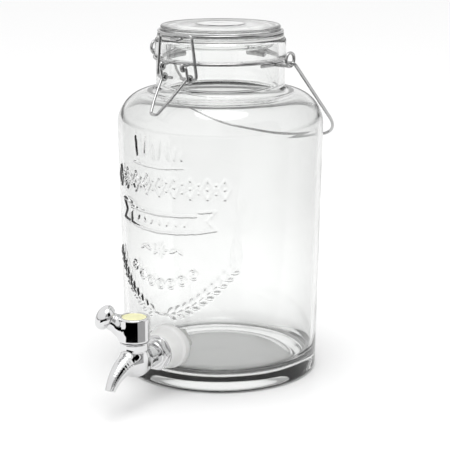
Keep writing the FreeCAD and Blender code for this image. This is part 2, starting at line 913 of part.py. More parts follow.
def make_tap_head():
    reach = size("barrel_reach")
    foot = size("head_foot_height")
    top = size("head_top_height")
    edge = size("head_edge")
    drum = cylinder(size("head_radius"), top - foot - edge * 2, 0, 0 - reach, foot + edge)
    upper = cone(size("head_radius"), size("head_radius") - edge * 0.5, edge, 0, 0 - reach, top - edge)
    lower = cone(size("head_radius") - edge, size("head_radius"), edge, 0, 0 - reach, foot)
    length = SIZES["arm_length"]
    direction = arm_direction()
    arm = loft(
        [
            (arm_point(0), 8.0, direction),
            (arm_point(length * 0.45), 7.7, direction),
            (arm_point(length * 0.72), 6.5, direction),
            (arm_point(length), 6.3, direction),
        ]
    )
    disc_seat = top - size("disc_recess")
    recess = cylinder(size("disc_radius") + 0.1, size("disc_recess") + 1.0, 0, 0 - reach, disc_seat)
    stem_length = size("stem_top_height") - foot
    socket = cylinder(size("stem_radius") + 0.05, stem_length + 2.0, 0, 0 - reach, foot - 1.9)
    well = cylinder(size("screw_head_radius") + 0.3, 9.0, 0, 0 - reach, size("stem_top_height") + 1.6)
    screw_way = cylinder(size("screw_radius") + 0.2, 6.0, 0, 0 - reach, size("stem_top_height") - 1.0)
    below_head = cylinder(size("head_radius") * 2, 20.0, 0, 0 - reach, foot - 20.0)
    node(cut(fuse(drum, upper, lower, arm), below_head, recess, socket, well, screw_way), "tap_head")


def make_lever_knob():
    """The rounded knob that caps the arm's end."""
    start = SIZES["arm_length"] + 0.05
    length = SIZES["knob_length"]
    radius = SIZES["knob_radius"]
    direction = arm_direction()
    knob = loft(
        [
            (arm_point(start), radius * 0.86, direction),
            (arm_point(start + length * 0.12), radius * 0.97, direction),
            (arm_point(start + length * 0.45), radius, direction),
            (arm_point(start + length * 0.75), radius * 0.88, direction),
            (arm_point(start + length * 0.93), radius * 0.62, direction),
            (arm_point(start + length), radius * 0.34, direction),
        ]
    )
    node(knob, "lever_knob")


def make_cap_disc():
    top = size("head_top_height") - 0.3
    thick = size("disc_thick")
    node(cylinder(size("disc_radius"), thick, 0, 0 - size("barrel_reach"), top - thick), "cap_disc")


def make_head_screw():
    reach = size("barrel_reach")
    seat = size("stem_top_height") + 1.65
    head = cylinder(size("screw_head_radius"), size("screw_head_thick"), 0, 0 - reach, seat)
    shaft = cylinder(size("screw_radius"), 7.5, 0, 0 - reach, seat - 7.4)
    slot = box(0.8, 8.0, 1.0, -0.4, -4.0 - reach, seat + size("screw_head_thick") - 0.9)
    node(cut(fuse(head, shaft), slot), "head_screw")


# ---- check and write ----


def check_and_write():
    DOC.recompute()
    for item in DOC.Objects:
        bad = [state for state in item.State if state in ("Invalid", "Error")]
        assert not bad, f"{item.Name} ({item.Label}) is {bad}"
    os.makedirs("parts", exist_ok=True)
    for item in NODES:
        shape = item.Shape
        assert not shape.isNull() and shape.isValid(), f"{item.Label} has no valid shape"
        assert len(shape.Solids) == 1, f"{item.Label} has {len(shape.Solids)} solids"
        shape.exportStep(f"parts/{item.Label}.step")
        print(f"{item.Label}: {shape.Volume / 1000:.2f} cm3")


fill_sheet()
make_jar()
make_lid()
make_gasket()
make_neck_ring()
make_handle_ears()
make_hinge_bracket()
make_lid_ring()
make_clasp_lever()
make_clasp_link()
make_carry_handle()
make_outer_washer()
make_inner_washer()
make_inner_nut()
make_tap_body()
make_valve_plug()
make_o_rings()
make_tap_head()
make_lever_knob()
make_cap_disc()
make_head_screw()
check_and_write()
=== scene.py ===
"""The looks of a clip-top glass drinks dispenser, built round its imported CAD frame.

+Z is up and the tap points to -Y. Shapes are worked out in millimetres and stored in metres.
"""

import json
import math

import bmesh
import bpy
import numpy as np
from mathutils import Matrix, Vector


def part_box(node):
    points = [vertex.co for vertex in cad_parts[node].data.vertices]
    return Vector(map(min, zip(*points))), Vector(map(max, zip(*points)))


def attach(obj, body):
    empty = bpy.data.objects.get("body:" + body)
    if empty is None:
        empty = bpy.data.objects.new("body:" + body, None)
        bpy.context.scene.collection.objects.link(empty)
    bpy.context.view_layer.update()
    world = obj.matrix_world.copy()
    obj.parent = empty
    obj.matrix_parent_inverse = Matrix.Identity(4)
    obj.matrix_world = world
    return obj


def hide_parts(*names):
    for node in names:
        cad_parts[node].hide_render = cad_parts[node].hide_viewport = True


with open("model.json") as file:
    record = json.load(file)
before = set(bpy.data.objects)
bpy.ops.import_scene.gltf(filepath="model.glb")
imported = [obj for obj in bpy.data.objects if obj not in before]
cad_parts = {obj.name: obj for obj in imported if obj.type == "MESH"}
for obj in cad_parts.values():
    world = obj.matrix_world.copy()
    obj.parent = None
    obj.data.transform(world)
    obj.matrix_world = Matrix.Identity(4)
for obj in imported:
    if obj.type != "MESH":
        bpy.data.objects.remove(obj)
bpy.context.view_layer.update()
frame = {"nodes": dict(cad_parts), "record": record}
NODES = frame["nodes"]
MM = 0.001
CAMERA_AZIMUTH = 30.0
POLE_RADIUS = 0.02


def middle_of(node):
    """The middle of a CAD node's box, in millimetres."""
    low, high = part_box(node)
    return (Vector(low) + Vector(high)) / 2 / MM


TAP_REACH = -middle_of("cap_disc").y
TAP_HEIGHT = middle_of("outer_washer").z


# ---- meshes ----


def mesh_object(name, verts, faces, material, sharp_angle=None):
    """A smooth-shaded object from vertices in metres, with edges over sharp_angle kept sharp."""
    mesh = bpy.data.meshes.new(name)
    mesh.from_pydata([tuple(v) for v in verts], [], faces)
    mesh.validate()
    mesh.shade_smooth()
    if sharp_angle is not None:
        mesh.set_sharp_from_angle(angle=math.radians(sharp_angle))
    mesh.materials.append(material)
    obj = bpy.data.objects.new(name, mesh)
    bpy.context.scene.collection.objects.link(obj)
    return obj


def face_outward(mesh):
    """Turns every face of a closed mesh to the outside."""
    bm = bmesh.new()
    bm.from_mesh(mesh)
    bmesh.ops.recalc_face_normals(bm, faces=bm.faces)
    bm.to_mesh(mesh)
    bm.free()


def rounded_outline(corners, step_angle):
    """A profile through (radius, height, rounding) corners, each rounded with an arc."""
    last = len(corners) - 1
    points = []
    for i, (r, z, rounding) in enumerate(corners):
        here = np.array([r, z], float)
        if rounding <= 0 or i in (0, last):
            points.append(here)
            continue
        before = np.array(corners[i - 1][:2], float)
        after = np.array(corners[i + 1][:2], float)
        back = (before - here) / np.linalg.norm(before - here)
        ahead = (after - here) / np.linalg.norm(after - here)
        half = math.acos(np.clip(back @ ahead, -1, 1)) / 2
        run = rounding / math.tan(half)
        middle = (back + ahead) / np.linalg.norm(back + ahead)
        centre = here + middle * rounding / math.sin(half)
        start = here + back * run - centre
        end = here + ahead * run - centre
        first = math.atan2(start[1], start[0])
        turn = (math.atan2(end[1], end[0]) - first + math.pi) % (2 * math.pi) - math.pi
        steps = max(2, math.ceil(abs(math.degrees(turn)) / step_angle))
        for k in range(steps + 1):
            angle = first + turn * k / steps
            points.append(centre + rounding * np.array([math.cos(angle), math.sin(angle)]))
    return np.array(points)


def spaced(points, longest):
    """The same profile with its long runs divided into steps no longer than longest."""
    out = [points[0]]
    for a, b in zip(points[:-1], points[1:]):
        steps = max(1, math.ceil(np.linalg.norm(b - a) / longest))
        out += [a + (b - a) * k / steps for k in range(1, steps + 1)]
    return np.array(out)


def lathe_faces(rows, columns, loop=False):
    """Quads round a grid of rows and columns. Its ends are capped, or joined if it is a loop."""
    faces = []
    for i in range(rows if loop else rows - 1):
        j = (i + 1) % rows
        for k in range(columns):
            m = (k + 1) % columns
            faces.append((i * columns + k, i * columns + m, j * columns + m, j * columns + k))
    if not loop:
        faces.append(tuple(range(columns))[::-1])
        faces.append(tuple((rows - 1) * columns + k for k in range(columns)))
    return faces


def lathe(name, profile, material, columns, loop=False, place=None, sharp_angle=None):
    """A solid of revolution about Z, then moved by place, from a profile of (radius, height)."""
    angles = np.linspace(0, 2 * math.pi, columns, endpoint=False)
    profile = np.array(profile, float)
    verts = []
    for r, z in profile:
        r = max(r, POLE_RADIUS)
        verts += [(r * math.cos(a) * MM, r * math.sin(a) * MM, z * MM) for a in angles]
    faces = lathe_faces(len(profile), columns, loop)
    obj = mesh_object(name, verts, faces, material, sharp_angle)
    face_outward(obj.data)
    if place is not None:
        obj.data.transform(place)
    return obj


# ---- blended solids, from signed distances in millimetres ----


def blend_union(a, b, width):
    """The union of two signed distances, with the corner between them filled to a fillet."""
    mix = np.clip(0.5 + 0.5 * (b - a) / width, 0, 1)
    return b + (a - b) * mix - width * mix * (1 - mix)


def blend_cut(a, tool, width):
    """What is left of a outside tool, with the edge softened."""
    return -blend_union(-a, tool, width)


def blend_common(a, b, width):
    """What a and b share, with the edge softened."""
    return -blend_union(-a, -b, width)


def upright_drum(p, radius, low, high, rounding):
    """A cylinder about Z with rounded rims."""
    out = np.hypot(p[..., 0], p[..., 1]) - radius + rounding
    up = np.abs(p[..., 2] - (low + high) / 2) - (high - low) / 2 + rounding
    beyond = np.hypot(np.maximum(out, 0), np.maximum(up, 0))
    return np.minimum(np.maximum(out, up), 0) + beyond - rounding


def tapered_line(p, points, radii):
    """A round bar through the points, with a radius at each."""
    nearest = np.full(p.shape[:-1], 1e9)
    for a, b, first, last in zip(points[:-1], points[1:], radii[:-1], radii[1:]):
        way = b - a
        t = np.clip(((p - a) @ way) / (way @ way), 0, 1)
        away = np.linalg.norm(p - a - t[..., None] * way, axis=-1)
        nearest = np.minimum(nearest, away - first - (last - first) * t)
    return nearest


def grid_crossings(inside, cell_number):
    """Quads round every grid edge that passes from inside to outside."""
    quads = []
    for axis in range(3):
        first = np.moveaxis(inside, axis, 0)
        numbers = np.moveaxis(cell_number, axis, 0)
        i, j, k = np.nonzero(first[:-1, 1:-1, 1:-1] != first[1:, 1:-1, 1:-1])
        around = [numbers[i, j + a, k + b] for a, b in ((0, 0), (1, 0), (1, 1), (0, 1))]
        found = np.stack(around, axis=-1)
        flip = first[i, j + 1, k + 1] == (axis == 1)
        found[flip] = found[flip][:, ::-1]
        quads.append(found)
    return np.concatenate(quads)


def solid_from(name, distance, low, high, step, material):
    """Meshes the surface where distance is zero, in a box from low to high, in cells of step."""
    low = np.array(low, float)
    axes = [np.arange(a, b + step, step) for a, b in zip(low, high)]
    grid = np.stack(np.meshgrid(*axes, indexing="ij"), axis=-1)
    inside = distance(grid) < 0
    ends = (slice(None, -1), slice(1, None))
    corners = [inside[a, b, c] for a in ends for b in ends for c in ends]
    mixed = np.any(corners, axis=0) & ~np.all(corners, axis=0)
    cell_number = np.full(mixed.shape, -1)
    cell_number[mixed] = np.arange(mixed.sum())
    points = low + (np.argwhere(mixed) + 0.5) * step
    probe = 0.02
    least_steepness = 0.2
    damping = 0.9
    for _ in range(5):
        here = distance(points)
        rises = [distance(points + probe * way) - here for way in np.eye(3)]
        slope = np.stack(rises, axis=-1) / probe
        steepness = np.maximum((slope**2).sum(axis=-1), least_steepness)
        points -= slope * (here / steepness)[:, None] * damping
    return mesh_object(name, points * MM, grid_crossings(inside, cell_number).tolist(), material)


# ---- materials ----

# the colour sockets of a Mix node, which share their names with its other sockets
MIX_A, MIX_B, MIX_RESULT = 6, 7, 2


def new_material(name):
    material = bpy.data.materials.new(name)
    material.use_nodes = True
    nodes = material.node_tree.nodes
    shader = next(n for n in nodes if n.type == "BSDF_PRINCIPLED")
    return material, nodes, material.node_tree.links, shader


def noise(nodes, links, scale, detail=3.0, roughness=0.55, stretch=(1, 1, 1)):
    place = nodes.new("ShaderNodeTexCoord")
    mapping = nodes.new("ShaderNodeMapping")
    mapping.inputs["Scale"].default_value = stretch
    links.new(place.outputs["Object"], mapping.inputs["Vector"])
    texture = nodes.new("ShaderNodeTexNoise")
    texture.inputs["Scale"].default_value = scale
    texture.inputs["Detail"].default_value = detail
    texture.inputs["Roughness"].default_value = roughness
    links.new(mapping.outputs["Vector"], texture.inputs["Vector"])
    return texture.outputs["Fac"]


def ranged(nodes, links, value, low, high):
    span = nodes.new("ShaderNodeMapRange")
    span.inputs["To Min"].default_value = low
    span.inputs["To Max"].default_value = high
    links.new(value, span.inputs["Value"])
    return span.outputs["Result"]


def bump(nodes, links, shader, height, strength, distance):
    node = nodes.new("ShaderNodeBump")
    node.inputs["Strength"].default_value = strength
    node.inputs["Distance"].default_value = distance
    links.new(height, node.inputs["Height"])
    links.new(node.outputs["Normal"], shader.inputs["Normal"])


def tinted(nodes, links, value, dark, light):
    """A colour between dark and light that follows value through its middle range."""
    ramp = nodes.new("ShaderNodeValToRGB")
    ramp.color_ramp.elements[0].color = (*dark, 1)
    ramp.color_ramp.elements[1].color = (*light, 1)
    ramp.color_ramp.elements[0].position = 0.3
    ramp.color_ramp.elements[1].position = 0.7
    links.new(value, ramp.inputs["Fac"])
    return ramp.outputs["Color"]


def multiplied(nodes, links, first, second):
    mix = nodes.new("ShaderNodeMix")
    mix.data_type = "RGBA"
    mix.blend_type = "MULTIPLY"
    mix.inputs["Factor"].default_value = 1.0
    links.new(first, mix.inputs[MIX_A])
    links.new(second, mix.inputs[MIX_B])
    return mix.outputs[MIX_RESULT]


def by_height(nodes, links, levels):
    """A grey that changes up the object, from pairs of height in millimetres and level."""
    place = nodes.new("ShaderNodeTexCoord")
    split = nodes.new("ShaderNodeSeparateXYZ")
    links.new(place.outputs["Object"], split.inputs["Vector"])
    top = levels[-1][0]
    span = nodes.new("ShaderNodeMapRange")
    span.inputs["From Max"].default_value = top * MM
    links.new(split.outputs["Z"], span.inputs["Value"])
    ramp = nodes.new("ShaderNodeValToRGB")
    set_stops(ramp.color_ramp.elements, [(height / top, level) for height, level in levels])
    links.new(span.outputs["Result"], ramp.inputs["Fac"])
    return ramp.outputs["Color"]


def set_stops(elements, stops):
    """Fills a new ramp with grey stops, given as pairs of position and level in rising order."""
    elements[0].position = stops[0][0]
    elements[1].position = stops[-1][0]
    for position, _ in stops[1:-1]:
        elements.new(position)
    for element, (_, level) in zip(elements, stops):
        element.color = (level, level, level, 1)


# the jar's grey by height: painted shade under 4 mm, standing in for the dark contact band at the
# foot, faintly grey in the upper wall, clear above it
JAR_GREYS_AND_FOOT_SHADE = [
    (0.0, 0.25), (2.6, 0.35), (4.2, 1.0), (80.0, 0.99),
    (125.0, 0.93), (200.0, 0.94), (214.0, 1.0), (250.0, 1.0),
]


def glass_material(name, dark, light, edge_level, levels=()):
    """Clear pressed glass: a faint tint, deeper at glancing angles, and a mould's slow ripple."""
    material, nodes, links, shader = new_material(name)
    shader.inputs["Transmission Weight"].default_value = 1.0
    shader.inputs["IOR"].default_value = 1.5
    shader.inputs["Roughness"].default_value = 0.0
    slow = noise(nodes, links, 22.0, 1.0)
    base_colour = tinted(nodes, links, slow, (dark, dark + 0.005, dark), (light, light + 0.005, light))
    facing = nodes.new("ShaderNodeLayerWeight")
    facing.inputs["Blend"].default_value = 0.5
    edge = nodes.new("ShaderNodeValToRGB")
    edge.color_ramp.elements[0].position = 0.12
    edge.color_ramp.elements[0].color = (1, 1, 1, 1)
    edge.color_ramp.elements[1].position = 0.95
    edge.color_ramp.elements[1].color = (edge_level, edge_level, edge_level, 1)
    links.new(facing.outputs["Facing"], edge.inputs["Fac"])
    base_colour = multiplied(nodes, links, base_colour, edge.outputs["Color"])
    # levels grey the glass by height; for the jar they paint shade round the foot
    if levels:
        base_colour = multiplied(nodes, links, base_colour, by_height(nodes, links, levels))
    links.new(base_colour, shader.inputs["Base Color"])
    bump(nodes, links, shader, slow, 0.16, 0.0012)
    return material


def metal_material(name, dark, light, low, high, grain, stretch, depth):
    """Metal between two colours and two roughnesses, with a grain as deep as depth."""
    material, nodes, links, shader = new_material(name)
    shader.inputs["Metallic"].default_value = 1.0
    fine = noise(nodes, links, grain, 4.0, 0.6, stretch)
    links.new(tinted(nodes, links, fine, dark, light), shader.inputs["Base Color"])
    links.new(ranged(nodes, links, fine, low, high), shader.inputs["Roughness"])
    bump(nodes, links, shader, fine, depth, 0.0002)
    return material


def silicone_material():
    """Milky translucent silicone."""
    material, nodes, links, shader = new_material("pale_silicone")
    cloud = noise(nodes, links, 160.0)
    base_colour = tinted(nodes, links, cloud, (0.93, 0.93, 0.92), (0.97, 0.97, 0.96))
    links.new(base_colour, shader.inputs["Base Color"])
    links.new(ranged(nodes, links, cloud, 0.32, 0.46), shader.inputs["Roughness"])
    shader.inputs["Transmission Weight"].default_value = 0.3
    shader.inputs["IOR"].default_value = 1.41
    bump(nodes, links, shader, cloud, 0.12, 0.0003)
    return material


def plastic_material(name, dark, light, low, high):
    """Moulded plastic or rubber between two colours and two roughnesses."""
    material, nodes, links, shader = new_material(name)
    fine = noise(nodes, links, 420.0)
    links.new(tinted(nodes, links, fine, dark, light), shader.inputs["Base Color"])
    links.new(ranged(nodes, links, fine, low, high), shader.inputs["Roughness"])
    bump(nodes, links, shader, fine, 0.12, 0.0002)
    return material


GLASS = glass_material("clear_glass", 0.965, 0.985, 0.72, JAR_GREYS_AND_FOOT_SHADE)
LID_GLASS = glass_material("clear_lid_glass", 0.985, 0.995, 0.97)
CHROME = metal_material(
    "chrome", (0.68, 0.68, 0.685), (0.74, 0.74, 0.745), 0.02, 0.05, 60.0, (1, 1, 1), 0.02
)
WIRE = metal_material(
    "steel_wire", (0.36, 0.36, 0.36), (0.50, 0.50, 0.50), 0.08, 0.16, 900.0, (1, 1, 0.3), 0.10
)
SCREW = metal_material(
    "screw_steel", (0.48, 0.48, 0.48), (0.60, 0.60, 0.60), 0.25, 0.4, 900.0, (1, 1, 1), 0.15
)
SILICONE = silicone_material()
WHITE_PLASTIC = plastic_material(
    "white_plastic", (0.82, 0.82, 0.80), (0.88, 0.88, 0.86), 0.35, 0.5
)
DARK_RUBBER = plastic_material("dark_rubber", (0.02, 0.02, 0.02), (0.035, 0.035, 0.035), 0.45, 0.6)
YELLOW_PLASTIC = plastic_material(
    "yellow_plastic", (0.80, 0.78, 0.44), (0.86, 0.84, 0.52), 0.25, 0.4
)

SLOT_MATERIALS = {
    "clear_glass": GLASS,
    "steel_wire": WIRE,
    "chrome": CHROME,
    "pale_silicone": SILICONE,
    "white_plastic": WHITE_PLASTIC,
    "dark_rubber": DARK_RUBBER,
    "yellow_plastic": YELLOW_PLASTIC,
    "screw_steel": SCREW,
}
SLOT_OF = {entry["node"]: entry["material_slot"] for entry in frame["record"]["subparts"]}


def dress_cad_nodes():
    """Gives every CAD node the material of its slot."""
    for name, obj in NODES.items():
        obj.data.materials.clear()
        obj.data.materials.append(SLOT_MATERIALS[SLOT_OF[name]])


# ---- raised ornament on the jar ----

# It is drawn flat, as distances along the wall and up it, and wrapped at ORNAMENT_RADIUS.
# Its middle line's angle and its half span are in degrees, from -Y towards +X.
ORNAMENT_MIDDLE = -5.5
ORNAMENT_HALF_SPAN = 52.0
ORNAMENT_LOW = 6.0
ORNAMENT_HIGH = 201.0
ORNAMENT_RADIUS = 75.0
RELIEF = 0.95
RELIEF_EDGE = 0.55


def leaf(middle, length, width, angle, bow=0.0):
    """A pointed leaf, turned by angle in degrees from level and bent by bow."""
    return ("leaf", middle, length / 2, width / 2, math.radians(angle), bow)


def line(points, half_width):
    """A line with round ends through the points."""
    return ("line", np.array(points, float), half_width)


def ring(middle, radius, half_width):
    """A circle, drawn with a line."""
    return ("ring", middle, radius, half_width)


def dot(middle, radius):
    return ("ring", middle, 0.0, radius)


def ornament_shapes():
    """Blades of grass, a row of lozenges, a ribbon, a sunburst, a row of beads and a leafy swag."""
    shapes = []
    for s, z, length, tilt in (
        (-21.5, 180.5, 21, 96), (-12.2, 181.5, 20, 84), (-4.5, 178.5, 14, 98),
        (1.5, 180.5, 17, 82), (8.0, 179.5, 15, 97), (14.2, 178.0, 12, 83), (19.0, 177.0, 8.5, 95),
    ):
        shapes.append(leaf((s, z), length, 3.0, tilt, 0.06))
    shapes.append(line([(-26, 168.6), (-12, 167.2), (3, 166.8), (20, 168.4)], 0.45))
    lozenges = 9
    for k in range(lozenges):
        s = -48.0 + k * 12.2
        z = 154.0
        tips = [(s - 4.2, z), (s, z + 7.4), (s + 4.2, z), (s, z - 7.4), (s - 4.2, z)]
        shapes.append(line(tips, 0.8))
        shapes.append(dot((s, z), 1.1))
        if k < lozenges - 1:
            shapes.append(dot((s + 6.1, z + 3.2), 0.9))
            shapes.append(dot((s + 6.1, z - 3.2), 0.9))
    top = [(-30.0, 134.0), (-15.0, 133.0), (0.0, 132.6), (15.0, 133.0), (31.0, 134.2)]
    low = [(31.0, 121.8), (15.0, 120.2), (0.0, 119.6), (-15.0, 120.0), (-30.0, 121.6)]
    shapes.append(line([*top, *low, top[0]], 0.85))
    left_tail = [(-30.0, 136.6), (-43.0, 138.0), (-37.4, 130.6), (-43.0, 123.2), (-30.0, 121.6)]
    right_tail = [(31.0, 136.8), (43.5, 138.2), (37.0, 130.8), (43.5, 124.2), (31.0, 121.8)]
    shapes.append(line(left_tail, 0.85))
    shapes.append(line(right_tail, 0.85))
    for s in (-21.0, -14.0, -7.0, 0.0, 7.0, 14.0, 21.0):
        z = 126.6 + (s / 30.0) ** 2 * 1.6
        shapes.append(leaf((s, z), 5.4, 2.4, 60 if int(abs(s)) % 2 else 120))
    sun = np.array([0.0, 106.6])
    for k in range(10):
        angle = math.radians(36 * k)
        reach = 6.2 if k % 2 == 0 else 4.8
        way = np.array([math.cos(angle), math.sin(angle)])
        shapes.append(line([sun + way * 2.6, sun + way * reach], 0.6))
    shapes.append(ring(sun, 1.4, 0.7))
    for side in (-1, 1):
        shapes.append(leaf((side * 11.5, 106.8), 9.0, 3.2, 90 - side * 62))
        shapes.append(leaf((side * 17.0, 106.4), 7.0, 2.8, 90 + side * 58))
    for k in range(7):
        s = -27.0 + k * 9.0
        z = 80.6 + (s / 27.0) ** 2 * 9.5
        shapes.append(ring((s, z), 3.1, 0.75))
        shapes.append(dot((s, z), 0.9))
    shapes += swag_shapes()
    return shapes


def swag_shapes():
    """A leafy swag: a hanging stem with leaves on both sides."""
    half_span, low, rise = 57.0, 57.0, 39.0
    along = np.linspace(-half_span, half_span, 77)
    stem = [(s, low + rise * (abs(s) / half_span) ** 1.75) for s in along]
    shapes = [line(stem, 0.45)]
    lengths = [0.0]
    for a, b in zip(stem[:-1], stem[1:]):
        lengths.append(lengths[-1] + math.hypot(b[0] - a[0], b[1] - a[1]))
    middle = lengths[-1] / 2
    across = [p[0] for p in stem]
    up = [p[1] for p in stem]
    spacing = 6.6
    reach = 3.9
    for way in (-1, 1):
        for k in range(10):
            at = middle + way * (6.0 + spacing * k)
            s = np.interp(at, lengths, across)
            z = np.interp(at, lengths, up)
            ahead = np.interp(at + way, lengths, across), np.interp(at + way, lengths, up)
            heading = math.atan2(ahead[1] - z, ahead[0] - s)
            for side in (-1, 1):
                angle = heading + side * math.radians(42)
                centre = (s + reach * math.cos(angle), z + reach * math.sin(angle))
                shapes.append(leaf(centre, 7.4, 2.9, math.degrees(angle)))
    return shapes


def smooth_step(x):
    """A soft rise from 0 to 1 as x goes from 0 to 1."""
    x = np.clip(x, 0, 1)
    return x * x * (3 - 2 * x)


def relief(s, z):
    """How far the ornament stands proud of the wall, at distances s along it and z up it."""
    height = np.zeros_like(s)
    edge = RELIEF_EDGE
    for shape in ornament_shapes():
        if shape[0] == "leaf":
            _, middle, half_length, half_width, angle, bow = shape
            u = (s - middle[0]) * math.cos(angle) + (z - middle[1]) * math.sin(angle)
            v = -(s - middle[0]) * math.sin(angle) + (z - middle[1]) * math.cos(angle)
            v = v - bow * (half_length - u * u / half_length)
            across = half_width * np.clip(1 - (u / half_length) ** 2, 0, 1)
            inside = across - np.abs(v)
            reach = np.where(np.abs(u) < half_length, inside, -1.0)
            here = RELIEF * smooth_step((reach + edge * 0.4) / (edge * 1.6))
        elif shape[0] == "line":
            _, points, half_width = shape
            near = np.full_like(s, 1e9)
            for a, b in zip(points[:-1], points[1:]):
                way = b - a
                t = np.clip(((s - a[0]) * way[0] + (z - a[1]) * way[1]) / (way @ way), 0, 1)
                near = np.minimum(near, np.hypot(s - a[0] - t * way[0], z - a[1] - t * way[1]))
            here = RELIEF * smooth_step((half_width + edge / 2 - near) / edge)
        else:
            _, middle, radius, half_width = shape
            near = np.abs(np.hypot(s - middle[0], z - middle[1]) - radius)
            here = RELIEF * smooth_step((half_width + edge / 2 - near) / edge)
        height = np.maximum(height, here)
    return height


# ---- glass ----

SHOULDER_HEIGHT = 214.5
FOOT_RADIUS = 73.7
SHOULDER_RADIUS = 77.7
INNER_SHOULDER_HEIGHT = 210.9
NECK_RADIUS = 48.0
# the jar's mesh: the steps between its rows in millimetres and its columns in degrees
ORNAMENT_ROW_STEP = 0.65
PLAIN_ROW_STEP = 6.0
COLUMN_STEP = 0.64


def jar_rows():
    """The jar's section: outside from the middle of the punt to the rim, then down inside."""
    corners = [
        (0, 6.4, 0), (50.0, 6.0, 30.0), (64.4, 0.2, 3.0), (68.5, 0.0, 2.0), (FOOT_RADIUS, 0.0, 4.0),
        (SHOULDER_RADIUS, SHOULDER_HEIGHT, 25.0), (NECK_RADIUS, SHOULDER_HEIGHT, 4.0),
        (NECK_RADIUS, 240.1, 0.35), (48.8, 240.7, 0.35), (48.8, 253.6, 2.6), (43.5, 253.6, 1.5),
        (43.5, INNER_SHOULDER_HEIGHT, 9.0), (74.1, INNER_SHOULDER_HEIGHT, 21.4),
        (70.1, 12.0, 10.0), (40.0, 12.0, 0), (0, 12.4, 0),
    ]
    points = rounded_outline(corners, 7.0)
    rows = [points[0]]
    for a, b in zip(points[:-1], points[1:]):
        outer_wall = min(a[0], b[0]) > FOOT_RADIUS - 0.2 and a[1] < 30 < b[1]
        longest = ORNAMENT_ROW_STEP if outer_wall else PLAIN_ROW_STEP
        steps = max(1, math.ceil(np.linalg.norm(b - a) / longest))
        rows += [a + (b - a) * k / steps for k in range(1, steps + 1)]
    return np.array(rows)


def jar_columns():
    """Angles from -Y towards +X, in degrees: close together across the ornament."""
    fine_half_span = 49.0
    coarse_columns = 90
    first = ORNAMENT_MIDDLE - fine_half_span
    fine = np.arange(first, ORNAMENT_MIDDLE + fine_half_span, COLUMN_STEP)
    coarse = np.linspace(fine[-1] + COLUMN_STEP, first + 360, coarse_columns, endpoint=False)
    return np.concatenate([fine, coarse])


def make_jar():
    """The jar, with its ornament, the faint rings of its neck and the tap's hole."""
    rows = jar_rows()
    columns = jar_columns()
    radius, angle = np.meshgrid(rows[:, 0], columns, indexing="ij")
    height = np.meshgrid(rows[:, 1], columns, indexing="ij")[0]
    radius = np.maximum(radius, POLE_RADIUS)
    outside = (np.arange(len(rows)) < np.argmax(rows[:, 1]))[:, None]
    wall = outside & (height > ORNAMENT_LOW) & (height < ORNAMENT_HIGH) & (radius > 70.0)
    around = (angle - ORNAMENT_MIDDLE + 180) % 360 - 180
    raised = relief(np.radians(around) * ORNAMENT_RADIUS, height)
    radius = np.where(wall & (np.abs(around) < ORNAMENT_HALF_SPAN), radius + raised, radius)
    rings_low, rings_high = 219.0, 240.0
    neck = outside & (height > rings_low) & (height < rings_high) & (radius < NECK_RADIUS + 2.0)
    ring_pitch, ring_depth = 3.4, 0.1
    rings = ring_depth * np.sin(height * 2 * math.pi / ring_pitch)
    radius = np.where(neck, radius + rings, radius)
    a = np.radians(angle)
    x = radius * np.sin(a) * MM
    y = -radius * np.cos(a) * MM
    z = height * MM
    verts = np.stack([x, y, z], axis=-1).reshape(-1, 3)
    jar = mesh_object("jar_glass", verts, lathe_faces(len(rows), len(columns)), GLASS)
    face_outward(jar.data)
    hole_radius = 9.0
    profile = [(0, -88), (hole_radius, -88), (hole_radius, -60), (0, -60)]
    upright_to_wall = Matrix.Rotation(math.radians(-90), 4, "X")
    place = Matrix.Translation((0, 0, TAP_HEIGHT * MM)) @ upright_to_wall
    drill = lathe("drill", profile, GLASS, 72, place=place)
    cut(jar, drill)
    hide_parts("glass_jar")
    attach(jar, "jar")


def cut(obj, tool):
    """Cuts tool out of obj and removes tool."""
    modifier = obj.modifiers.new("cut", "BOOLEAN")
    modifier.operation = "DIFFERENCE"
    modifier.solver = "EXACT"
    modifier.object = tool
    graph = bpy.context.evaluated_depsgraph_get()
    mesh = bpy.data.meshes.new_from_object(obj.evaluated_get(graph))
    obj.modifiers.clear()
    obj.data = mesh
    bpy.data.objects.remove(tool)


def make_lid():
    """The glass lid, which stands on its gasket with its plug in the neck."""
    gasket_gap = 0.1
    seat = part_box("lid_gasket")[1].z / MM + gasket_gap
    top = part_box("glass_lid")[1].z / MM
    corners = [
        (0, top, 0), (17.5, top, 0.8), (18.6, top - 0.5, 0.8), (44.6, top - 0.8, 1.6),
        (44.6, seat + 5.8, 0.2), (43.7, seat + 5.3, 0.2), (43.7, seat + 4.8, 0.2),
        (44.4, seat + 4.5, 0.2), (44.4, seat + 1.5, 0.5), (47.0, seat + 1.5, 0.6),
        (47.0, seat, 0.5), (40.4, seat, 0.6), (39.9, seat - 8.0, 1.4),
        (35.2, seat - 8.0, 1.4), (34.4, top - 5.7, 2.5), (0, top - 5.3, 0),
    ]
    lid = lathe("lid_glass", spaced(rounded_outline(corners, 9.0), 5.0), LID_GLASS, 180)
    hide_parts("glass_lid")
    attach(lid, "lid")


# ---- tap ----

# the spout's curve: distance ahead of the barrel's axis, height and outer radius
SPOUT = [
    (-3.0, 37.4, 8.4), (7.0, 37.6, 7.9), (16.0, 35.8, 6.6),
    (23.6, 31.8, 5.2), (28.8, 27.2, 4.2), (31.4, 23.4, 3.7),
]
SPOUT_PITCH = 68.0
# the spout's bore, as a share of its outer radius
SPOUT_BORE = 0.62
TUBE_RADIUS = 8.4
BARREL_RADIUS = 9.5
WATERWAY_RADIUS = 3.1
HEAD_LOW = 51.7
HEAD_TOP = 69.3
